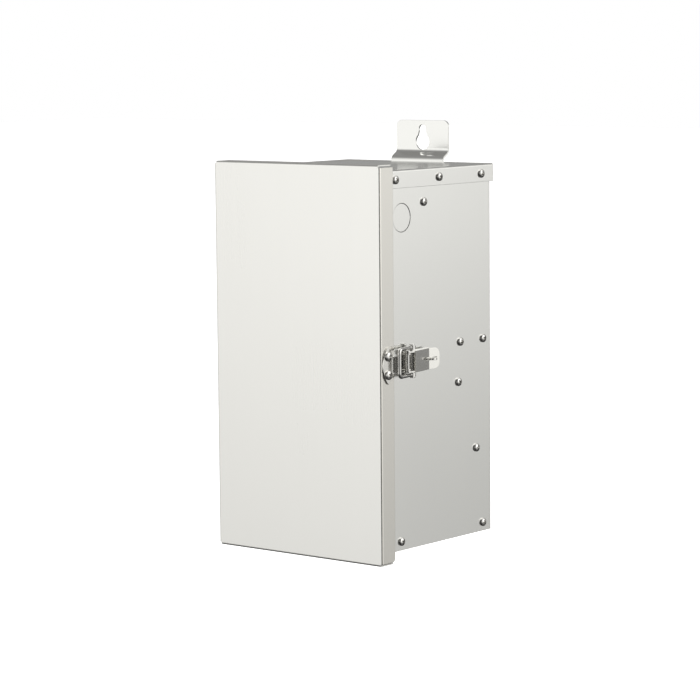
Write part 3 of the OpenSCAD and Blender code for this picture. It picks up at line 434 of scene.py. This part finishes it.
def box_mesh(low, high, round_by=0.3):
    """A block between two corners, in mm, with its edges rounded."""
    bm = bmesh.new()
    size = Vector(high) - Vector(low)
    bmesh.ops.create_cube(bm, size=MM)
    bmesh.ops.transform(bm, matrix=Matrix.Diagonal((*size, 1)), verts=bm.verts)
    bmesh.ops.bevel(bm, geom=bm.edges, offset=round_by * MM, segments=2, affect="EDGES", profile=0.5)
    bmesh.ops.translate(bm, vec=(Vector(low) + Vector(high)) * 0.5 * MM, verts=bm.verts)
    return smooth(to_mesh("block", bm), 30)


def gather(name, placed, body, material, slot, *replaced):
    """One object made of (mesh, matrix) pairs, which may stand for CAD nodes."""
    bm = bmesh.new()
    for mesh, matrix in placed:
        start = len(bm.verts)
        bm.from_mesh(mesh)
        bm.verts.ensure_lookup_table()
        bmesh.ops.transform(bm, matrix=matrix, verts=bm.verts[start:])
    obj = add_object(name, smooth(to_mesh(name, bm), 30), body, material)
    if replaced:
        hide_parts(*replaced)
    return obj


def copies(name, source, matrices, body, slot, node):
    """One object made of the source mesh placed by each matrix, in the place of a CAD group."""
    return gather(name, [(source, m) for m in matrices], body, MATERIALS[slot], slot, node)


def facing(point, direction, spin=0.0):
    """Places local +Z along direction at the point, turned about it by spin degrees."""
    turn = Vector(direction).to_track_quat("Z", "Y").to_matrix().to_4x4()
    return Matrix.Translation(point) @ turn @ Matrix.Rotation(math.radians(spin), 4, "Z")


def both_sides(rows, x, first_spin):
    """Screws on the right wall at each (y, z), and their mirror images on the left wall."""
    out = []
    for side in (1, -1):
        for k, (y, z) in enumerate(rows):
            out.append(facing(at(side * x, y, z), (side, 0, 0), first_spin + 37 * k + 11 * side))
    return out


# ---------------------------------------------------------------- screws and rivets

bright = MATERIALS["bright_steel"]


def rivet(grip, r=1.6, head_r=2.5, head_h=1.1):
    """A domed rivet: its head on z = 0 and its formed end below the grip."""
    profile = [(0, -grip - 0.8), (r + 0.5, -grip - 0.8), (r + 0.7, -grip - 0.6), (r + 0.7, -grip), (r, -grip),
               (r, 0), (head_r * 0.97, 0), (head_r, 0.1)]
    return from_bmesh("rivet", lathe(profile + dome(head_r, 0.15, head_h), 32))


side_screw = pan_screw(3.3, 2.3, 1.7, 7)
copies("screws_cap", side_screw, both_sides([(y, 284) for y in (-130, -75.3, -20.8)], 74.1, 20),
       "case", "bright_steel", "cap_screws")
copies("screws_bottom", side_screw, both_sides([(y, 7) for y in (-124, -18.5)], HALF_W, 50),
       "case", "bright_steel", "bottom_screws")
copies("screws_chassis", side_screw,
       both_sides([(-47.6, 154), (-17.7, 154), (-93.7, 265.8), (-50.3, 122.6), (-26.9, 67.9)], HALF_W, 15),
       "case", "bright_steel", "chassis_screws")
copies("screws_strike", pan_screw(3.7, 2.2, 1.6, 2.8),
       [facing(at(76.05, -142.4, STRIKE_Z + 7 * s), (1, 0, 0), 25 + 50 * s) for s in (-1, 1)],
       "door", "bright_steel", "strike_screws")
copies("rivets_hanger", rivet(2.5), [facing(at(16 * s, -5.5, 263.5), (0, 1, 0)) for s in (-1, 1)],
       "case", "bright_steel", "hanger_rivets")
copies("rivets_hinge_case", rivet(2.2), [facing(at(-74.2, -115, z), (-1, 0, 0)) for z in HINGE_RIVET_Z],
       "case", "bright_steel", "hinge_case_rivets")
copies("rivets_hinge_door", rivet(2.3), [facing(at(-90.15, -142.5, z), (-1, 0, 0)) for z in HINGE_RIVET_Z],
       "door", "bright_steel", "hinge_door_rivets")
copies("rivets_latch", rivet(2.2), [facing(at(74.2, y, LATCH_Z), (1, 0, 0)) for y in (-113, -104)],
       "case", "bright_steel", "latch_base_rivets")
copies("screws_small", pan_screw(3, 2, 1.7, 4),
       [facing(at(52.5 * s, TERM_Y - 4, PLATE_Z), (0, -1, 0), 33 * s) for s in (-1, 1)]
       + [facing(at(40 * s, TERM_Y + 12, 2.2), (0, 0, 1), 20 * s) for s in (-1, 1)],
       "case", "bright_steel", "small_screws")

# ---------------------------------------------------------------- terminals


def pole_x(i):
    return (i - POLES / 2 + 0.5) * PITCH


def binding_screw():
    """A slotted binding-head screw."""
    head = [(0, -0.4), (3.5, -0.4), (3.6, -0.1), (3.6, 1.2)] + dome(3.6, 1.2, 2.6, 7, 2.8)
    return cut(from_bmesh("binding screw", lathe(head)), [wedge(9, 0.9, 3.4, 1.3, 1.0)])


screw, plate = binding_screw(), box_mesh((-5, -11, -0.8), (5, 11, 0))
gather("terminals", [(plate, facing(at(pole_x(i), PLATE_FRONT_Y, PLATE_Z), (0, -1, 0))) for i in range(POLES)]
       + [(screw, facing(at(pole_x(i), PLATE_FRONT_Y, z), (0, -1, 0), 25 * i + z))
          for i in range(POLES) for z in (PLATE_Z - 6, PLATE_Z + 6)],
       "case", MATERIALS["brass"], "brass", "terminal_screws")

# ---------------------------------------------------------------- leads
# Each route repeats the frame's own. None shows in the photograph, and some of the bends are
# tighter than they should be.


def curve_through(points, steps=8):
    """Catmull-Rom points along a route."""
    out = []
    last = len(points) - 1
    for i in range(last):
        a, b, c, d = (Vector(points[max(0, min(last, i + k))]) for k in (-1, 0, 1, 2))
        for k in range(steps):
            t = k / steps
            out.append(0.5 * (2 * b + (c - a) * t + (2 * a - 5 * b + 4 * c - d) * t * t
                              + (3 * b - a - 3 * c + d) * t ** 3))
    return out + [Vector(points[-1])]


def leads(name, routes, colors, node):
    """Round insulated wires. Each colour is one piece of the group that stands for the CAD node."""
    for color, route in zip(colors, routes):
        curve = bpy.data.curves.new(name + "_" + color, "CURVE")
        curve.dimensions = "3D"
        curve.bevel_depth = LEAD_R * MM
        curve.bevel_resolution = 4
        curve.use_fill_caps = True
        points = curve_through(route)
        spline = curve.splines.new("POLY")
        spline.points.add(len(points) - 1)
        for p, q in zip(spline.points, points):
            p.co = (*at(*q), 1)
        spline.use_smooth = True
        mesh = smooth(evaluated(helper(name, curve)), 60)
        obj = add_object(name + "_" + color, mesh, "case", LEADS[color])
        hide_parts(node)


PLATE_Y = PLATE_FRONT_Y - LEAD_R - 0.1  # centre of a lead that lies on the terminal plates
LUG_Z = PLATE_Z + 10
EXIT_R = 50.0  # the secondary leads leave the coil on this radius
secondary = []
for i, x in enumerate((-30, -10, 10, 30)):
    top, pole = COIL_Z + math.sqrt(EXIT_R ** 2 - x * x), pole_x(i + 1)
    secondary.append([(x, -68.6, top), (x, -75, top + 1), ((x + 2 * pole) / 3, -84, 98), (pole, -90, 86),
                      (pole, -98, 81), (pole, PLATE_Y, 71), (pole, PLATE_Y, LUG_Z)])
leads("secondary_lead", secondary, ["black", "red", "blue", "yellow"], "secondary_leads")
primary = []
rim = COIL_R + LEAD_R + 0.7
for i in range(2):
    start = math.radians(48 - 6 * i)
    primary.append([(rim * math.cos(start), -30, COIL_Z + rim * math.sin(start)),
                    (46 + 7 * i, -35, 132 - 4 * i), (48 + 4 * i, -41, 152), (48 + 4 * i, -41, 172),
                    (46 + 6 * i, -57, 190), (38 + 8 * i, -57, 214 + 10 * i), (42, -68.4, 219 + 10 * i)])
leads("primary_lead", primary, ["white", "black"], "primary_leads")
supply = []
for i in range(2):
    supply.append([(-52, -42 + 4 * i, 12), (-53, -42 + 4 * i, 20), (-62, -43 + 4 * i, 45),
                   (-62, -43 + 4 * i, 120), (-52 + 4 * i, -41, 146), (-52 + 4 * i, -41, 172),
                   (-40 + 10 * i, -63, 196), (-40 + 10 * i, -73, 206), (-40 + 10 * i, -80.8, 206)])
leads("supply_lead", supply, ["white", "black"], "supply_leads")
leads("ground_lead", [[(52, -113, 5.6), (52, -105, 5.6), (62, -98, 14), (64, -82, 50), (62.5, -64, 105),
                       (53, -49, 140), (50, -45, 155), (50, -45, 168), (61, -71, 176), (61, -97, 176),
                       (61, -105.6, 176)]], ["green"], "ground_lead")
barrel = from_bmesh("barrel", lathe([(0, 0), (2.0, 0), (2.2, 0.3), (2.2, 2.2), (1.9, 2.6), (2.2, 3.0),
                                     (2.2, 5.6), (2.0, 6), (0, 6)], 24))
tongue = box_mesh((-2.9, -9.5, -0.3), (2.9, 1, 0.3), 0.2)
gather("lead_lugs", [(barrel, Matrix.Translation(at(pole_x(i + 1), PLATE_Y, LUG_Z))) for i in range(4)]
       + [(tongue, facing(at(pole_x(i + 1), PLATE_FRONT_Y - 0.3, LUG_Z), (0, -1, 0))) for i in range(4)],
       "case", bright, "bright_steel")

# ---------------------------------------------------------------- transformer winding


def coil_outline(n=11):
    """The rounded section of the winding, as (radius, distance along the axis), in mm."""
    outer, inner = COIL_R - COIL_ROUND, COIL_CORE + COIL_ROUND
    front, back = COIL_H - COIL_ROUND, COIL_ROUND
    points = []
    for cx, cy, a0 in ((outer, front, 0), (inner, front, 90), (inner, back, 180), (outer, back, 270)):
        for k in range(n):
            a = math.radians(a0 + 90 * k / (n - 1))
            points.append((cx + COIL_ROUND * math.cos(a), cy + COIL_ROUND * math.sin(a), a))
    return points


def winding(turns=132, per_turn=6, wire=0.75):
    """Turns of wire side by side, each leaning by one pitch as it goes round the section."""
    bm = bmesh.new()
    outline = coil_outline()
    rings = []
    for j in range(turns * per_turn):
        across = 2 * (j % per_turn) / per_turn - 1
        layer = 0.18 * math.sin(2.4 * (j // per_turn))
        sink = wire * (1 - math.sqrt(max(0, 1 - across * across))) + 0.2 + layer
        ring = []
        for k, (r, h, a) in enumerate(outline):
            t = 2 * math.pi * (j / per_turn + k / len(outline)) / turns
            rr, hh = r - sink * math.cos(a), h - sink * math.sin(a)
            ring.append(bm.verts.new((rr * math.cos(t) * MM, rr * math.sin(t) * MM, hh * MM)))
        rings.append(ring)
    for j, ring in enumerate(rings):
        after = rings[(j + 1) % len(rings)]
        for k in range(len(ring)):
            if k + 1 < len(ring):
                bm.faces.new((ring[k], after[k], after[k + 1], ring[k + 1]))
            else:
                ahead, beyond = rings[(j + per_turn) % len(rings)], rings[(j + per_turn + 1) % len(rings)]
                bm.faces.new((ring[k], after[k], beyond[0], ahead[0]))
    return from_bmesh("winding", bm, 60)


def tape_band(width_deg, lift=0.05):
    """A band of tape round the section, a little proud of the wire."""
    bm = bmesh.new()
    rings = []
    for j in range(9):
        t = math.radians(width_deg * (j / 8 - 0.5))
        sink = (0.25 if j in (0, 8) else 0.0) - lift
        ring = []
        for r, h, a in coil_outline():
            rr, hh = r - sink * math.cos(a), h - sink * math.sin(a)
            ring.append(bm.verts.new((rr * math.cos(t) * MM, rr * math.sin(t) * MM, hh * MM)))
        rings.append(ring)
    for a, b in zip(rings, rings[1:]):
        for k in range(len(a)):
            j = (k + 1) % len(a)
            bm.faces.new((a[k], b[k], b[j], a[j]))
    return from_bmesh("tape", bm, 60)


coil_place = facing(at(0, COIL_BACK_Y, COIL_Z), (0, -1, 0))
gather("transformer_winding", [(winding(), coil_place)], "case", MATERIALS["copper_winding"],
       "copper_winding", "toroid_coil")
gather("winding_tape", [(tape_band(13, 0.0), coil_place @ Matrix.Rotation(math.radians(a), 4, "Z"))
                        for a in (48, 90, 205, 325)],
       "case", plastic("amber tape", (0.72, 0.45, 0.08), 0.25, 500, 0.04, 0.4, edge=0), "copper_winding")

# ---------------------------------------------------------------- timer dial

dial_place = facing(at(TIMER[0], -111.35, TIMER[1]), (0, -1, 0))  # local z = 0 is the dial's back


def on_dial(degrees, radius, z):
    """A place on the dial, clockwise from its top, with its own +Y pointing outwards."""
    return (dial_place @ Matrix.Rotation(math.radians(-degrees), 4, "Z")
            @ Matrix.Translation((0, radius * MM, z * MM)))


def dial_disc():
    profile = [(0, 0), (29.6, 0), (30, 0.4), (30, 2.6), (29.7, 2.9), (24.0, 2.9), (23.7, 3.2), (23.7, 5.9),
               (23.4, 6.2), (22.7, 6.2), (22.4, 5.9), (22.2, FACE_Z), (15.6, FACE_Z), (15.3, FACE_Z - 0.3),
               (14.9, FACE_Z - 0.3), (14.6, FACE_Z), (9.7, FACE_Z), (9.5, FACE_Z + 0.3), (9.3, 7.0), (8.7, 8.7),
               (8.3, 9.0), (6, 9.0), (5.6, 8.6), (0, 8.6)]
    return from_bmesh("dial", lathe(profile, 96), 30)


TRIPPER_R = 26.9


def tripper():
    """One hour's tripper: a block that widens outwards, its middle on the radius TRIPPER_R."""
    bm = bmesh.new()
    bmesh.ops.create_cube(bm, size=MM)
    bmesh.ops.transform(bm, matrix=Matrix.Diagonal((6.0, 5.6, 3.4, 1)), verts=bm.verts)
    for v in bm.verts:
        v.co.x *= (TRIPPER_R + v.co.y * 1000) / TRIPPER_R
    bmesh.ops.bevel(bm, geom=bm.edges, offset=0.35 * MM, segments=2, affect="EDGES", profile=0.5)
    return smooth(to_mesh("tripper", bm), 30)


def digits(text, size, thickness=0.1):
    """Numerals as a thin solid lying on z = 0."""
    font = bpy.data.curves.new("digits", "FONT")
    font.body = text
    font.size = size * MM
    font.extrude = thickness * 0.5 * MM
    font.align_x, font.align_y = "CENTER", "CENTER"
    return evaluated(helper("digits", font))


gather("dial_disc", [(dial_disc(), dial_place)], "timer_dial", MATERIALS["dial_plastic"], "dial_plastic",
       "timer_dial")
segment = tripper()
night = range(18, 23)  # hours from noon at the bottom whose trippers are pushed in
gather("dial_trippers", [(segment, on_dial(15 * k + 7.5, TRIPPER_R, 3.5 if k in night else 4.8))
                         for k in range(HOURS)],
       "timer_dial", MATERIALS["black_plastic"], "black_plastic")
tick = box_mesh((-0.14, -0.6, 0), (0.14, 0.6, 0.1), 0.02)
long_tick = box_mesh((-0.25, -0.9, 0), (0.25, 0.9, 0.1), 0.02)
arrow_line = box_mesh((-0.6, -4.6, 0), (0.6, 4.6, 0.15), 0.05)
arrow_barb = box_mesh((-0.5, -1.6, 0), (0.5, 1.6, 0.15), 0.05)
gather("dial_marks", [(tick if k % 4 else long_tick, on_dial(3.75 * k, 21, FACE_Z)) for k in range(4 * HOURS)]
       + [(digits(str(h), 3.3), on_dial(15 * h, 17.7, FACE_Z + 0.05)) for h in range(1, HOURS + 1)]
       + [(arrow_line, on_dial(0, 0, 8.6))]
       + [(arrow_barb, on_dial(0, 3.6, 8.6) @ Matrix.Rotation(a, 4, "Z")) for a in (0.7, -0.7)],
       "timer_dial", MATERIALS["black_plastic"], "black_plastic")
gather("dial_knob_grip", [(box_mesh((-0.35, -0.35, -1.1), (0.35, 0.35, 1.0), 0.2), on_dial(10 * k, 8.95, 7.2))
                          for k in range(36)],
       "timer_dial", MATERIALS["dial_plastic"], "dial_plastic")

# ---------------------------------------------------------------- door label
# A blank data plate: a frame, ruled rows and a plain wiring diagram, with no words.

label_place = facing(at(0, -148.8, 170), (0, 1, 0))
ink = plastic("label ink", (0.03, 0.035, 0.05), 0.45, 400, 0.02, edge=0, dark=0.9)


def rule(x0, y0, x1, y1, weight=0.5):
    """A printed line between two points of the label, in mm."""
    return (box_mesh((min(x0, x1) - weight / 2, min(y0, y1) - weight / 2, -0.05),
                     (max(x0, x1) + weight / 2, max(y0, y1) + weight / 2, 0.05), 0.02), label_place)


def ring_mark(x, y, r, weight=0.6):
    """A printed ring round a point of the label, in mm."""
    inner, outer = r - weight / 2, r + weight / 2
    profile = [(inner, -0.05), (outer, -0.05), (outer, 0.05), (inner, 0.05), (inner, -0.05)]
    place = label_place @ Matrix.Translation((x * MM, y * MM, 0))
    return (from_bmesh("ring", lathe(profile, 64), 30), place)


frame_w, frame_h = 43, 55
marks = [rule(-frame_w, s * frame_h, frame_w, s * frame_h, 0.8) for s in (-1, 1)]
marks += [rule(s * frame_w, -frame_h, s * frame_w, frame_h, 0.8) for s in (-1, 1)]
marks += [rule(-frame_w, -50 + 8 * k, frame_w, -50 + 8 * k) for k in range(6)]
marks += [rule(x, -50, x, -10) for x in (-15, 14)]
marks += [rule(-frame_w, 40, frame_w, 40)]
marks += [ring_mark(0, 20, 11), ring_mark(0, 20, 5)]
marks += [rule(-34, 24 - 8 * s, -11, 24 - 8 * s) for s in range(2)]
marks += [rule(11, 28 - 8 * s, 30, 28 - 8 * s) for s in range(3)]
marks += [ring_mark(-36, 24 - 8 * s, 1.6) for s in range(2)]
marks += [ring_mark(32, 28 - 8 * s, 1.6) for s in range(3)]
gather("label_print", marks, "door", ink, "black_plastic")

# ---------------------------------------------------------------- camera, light and floor

camera = bpy.data.objects.new("camera", bpy.data.cameras.new("camera"))
bpy.context.scene.collection.objects.link(camera)
bpy.context.scene.camera = camera
azimuth, pitch, roll = math.radians(38.94), math.radians(6.57), math.radians(-0.51)
look = Vector((-math.sin(azimuth) * math.cos(pitch), math.cos(azimuth) * math.cos(pitch), -math.sin(pitch)))
right = look.cross(Vector((0, 0, 1))).normalized()
up = right.cross(look)
right, up = right * math.cos(roll) + up * math.sin(roll), up * math.cos(roll) - right * math.sin(roll)
aim_point, distance = at(-3.4, -90, 146.4), 2.1455
camera.matrix_world = Matrix.Translation(aim_point - look * distance) @ Matrix(
    (right, up, -look)).transposed().to_4x4()
camera.data.sensor_width = 36
camera.data.lens = 140.2
camera.data.clip_start = 0.1

floor_bm = bmesh.new()
bmesh.ops.create_grid(floor_bm, x_segments=2, y_segments=2, size=14)
floor_mesh = to_mesh("floor", floor_bm)
floor = bpy.data.objects.new("floor", floor_mesh)
bpy.context.scene.collection.objects.link(floor)
floor.location.z = -0.56
floor.visible_glossy = False
paint = Shader("pale floor", (0.94, 0.94, 0.94), roughness=0.9, Emission_Strength=0.8)
paint.bsdf.inputs["Emission Color"].default_value = (1, 1, 1, 1)
paint.tint(paint.spread(paint.noise((3, 3, 3)), 0, 1), (0.93, 0.93, 0.93))
floor_mesh.materials.append(paint.mat)


def ramp(tree, value, stops):
    r = tree.nodes.new("ShaderNodeValToRGB")
    r.color_ramp.interpolation = "EASE"
    while len(r.color_ramp.elements) < len(stops):
        r.color_ramp.elements.new(0.5)
    for e, (x, c) in zip(r.color_ramp.elements, stops):
        e.position = x
        e.color = (c, c * 0.998, c * 0.985, 1)
    tree.links.new(value, r.inputs["Fac"])
    return r.outputs["Color"]


world = bpy.data.worlds.new("studio")
bpy.context.scene.world = world
world.use_nodes = True
wt = world.node_tree
wt.nodes.clear()


def light_node(kind, **settings):
    n = wt.nodes.new(kind)
    for key, value in settings.items():
        setattr(n, key, value)
    return n


def from_zero_to_one(value, low, high):
    """Maps low to 0 and high to 1."""
    r = light_node("ShaderNodeMapRange")
    r.inputs["From Min"].default_value = low
    r.inputs["From Max"].default_value = high
    wt.links.new(value, r.inputs["Value"])
    return r.outputs["Result"]


def mixed(a, b, factor=None, blend="MIX"):
    m = light_node("ShaderNodeMix", data_type="RGBA", blend_type=blend)
    m.inputs["Factor"].default_value = 1
    if factor:
        wt.links.new(factor, m.inputs["Factor"])
    wt.links.new(a, m.inputs["A"])
    wt.links.new(b, m.inputs["B"])
    return m.outputs["Result"]


# The brightness below was set against the photograph's tones, for its one view.
direction = light_node("ShaderNodeTexCoord").outputs["Generated"]
parts = light_node("ShaderNodeSeparateXYZ")
wt.links.new(direction, parts.inputs[0])
height = from_zero_to_one(parts.outputs["Z"], -1, 1)  # 0 is straight down, 0.5 the horizon, 1 straight up
front_light = ramp(wt, height, [(0.0, 0.06), (0.28, 0.20), (0.41, 0.76), (0.48, 0.93), (0.58, 0.95),
                                (0.70, 0.82), (0.83, 0.42), (1, 0.26)])
side_light = ramp(wt, height, [(0.0, 0.03), (0.28, 0.10), (0.41, 0.455), (0.50, 0.77), (0.60, 0.96),
                               (0.72, 0.95), (0.93, 0.95), (1, 0.30)])
turn = light_node("ShaderNodeMath", operation="ARCTAN2")
wt.links.new(parts.outputs["Y"], turn.inputs[0])
wt.links.new(parts.outputs["X"], turn.inputs[1])
# how much of that light comes from each compass direction, in degrees from +X towards +Y
compass = [(-180, 0.30), (-152, 0.36), (-129, 0.585), (-112, 0.68), (-100, 0.60), (-82, 0.32), (-66, 0.06),
           (-51, 0.02), (-36, 0.06), (-18, 0.55), (0, 0.90), (27, 0.92), (50, 0.69), (66, 0.26), (86, 0.14),
           (106, 0.18), (128, 0.19), (150, 0.24), (180, 0.30)]
ring = ramp(wt, from_zero_to_one(turn.outputs[0], -math.pi, math.pi),
            [((a + 180) / 360, v) for a, v in compass])
aim = light_node("ShaderNodeVectorMath", operation="DOT_PRODUCT")
aim.inputs[1].default_value = (-0.63, -0.77, 0)  # out from the case towards the front
wt.links.new(direction, aim.inputs[0])
front_share = from_zero_to_one(aim.outputs["Value"], -0.6, 0.6)
studio = light_node("ShaderNodeBackground")
studio.inputs["Strength"].default_value = 2.0
wt.links.new(mixed(mixed(side_light, front_light, front_share), ring, blend="MULTIPLY"), studio.inputs["Color"])
white = light_node("ShaderNodeBackground")  # what the camera itself sees
white.inputs["Color"].default_value = (1, 1, 1, 1)
pick = light_node("ShaderNodeMixShader")
wt.links.new(light_node("ShaderNodeLightPath").outputs["Is Camera Ray"], pick.inputs["Fac"])
wt.links.new(studio.outputs[0], pick.inputs[1])
wt.links.new(white.outputs[0], pick.inputs[2])
wt.links.new(pick.outputs[0], light_node("ShaderNodeOutputWorld").inputs["Surface"])


def softbox(name, place, target, width, height, watts):
    data = bpy.data.lights.new(name, "AREA")
    data.shape = "RECTANGLE"
    data.size, data.size_y = width, height
    data.energy = watts
    obj = bpy.data.objects.new(name, data)
    bpy.context.scene.collection.objects.link(obj)
    obj.location = place
    obj.rotation_euler = (Vector(target) - Vector(place)).to_track_quat("-Z", "Y").to_euler()
    obj.visible_glossy = False  # the world above is what the steel mirrors


softbox("key", (-1.4, -1.8, 1.5), (0, -0.08, -0.15), 1.6, 1.6, 16)
softbox("top", (0.3, -0.2, 2.2), (0, -0.08, -0.15), 1.3, 1.3, 7)

bpy.context.scene.view_settings.view_transform = "Standard"
bpy.context.view_layer.update()
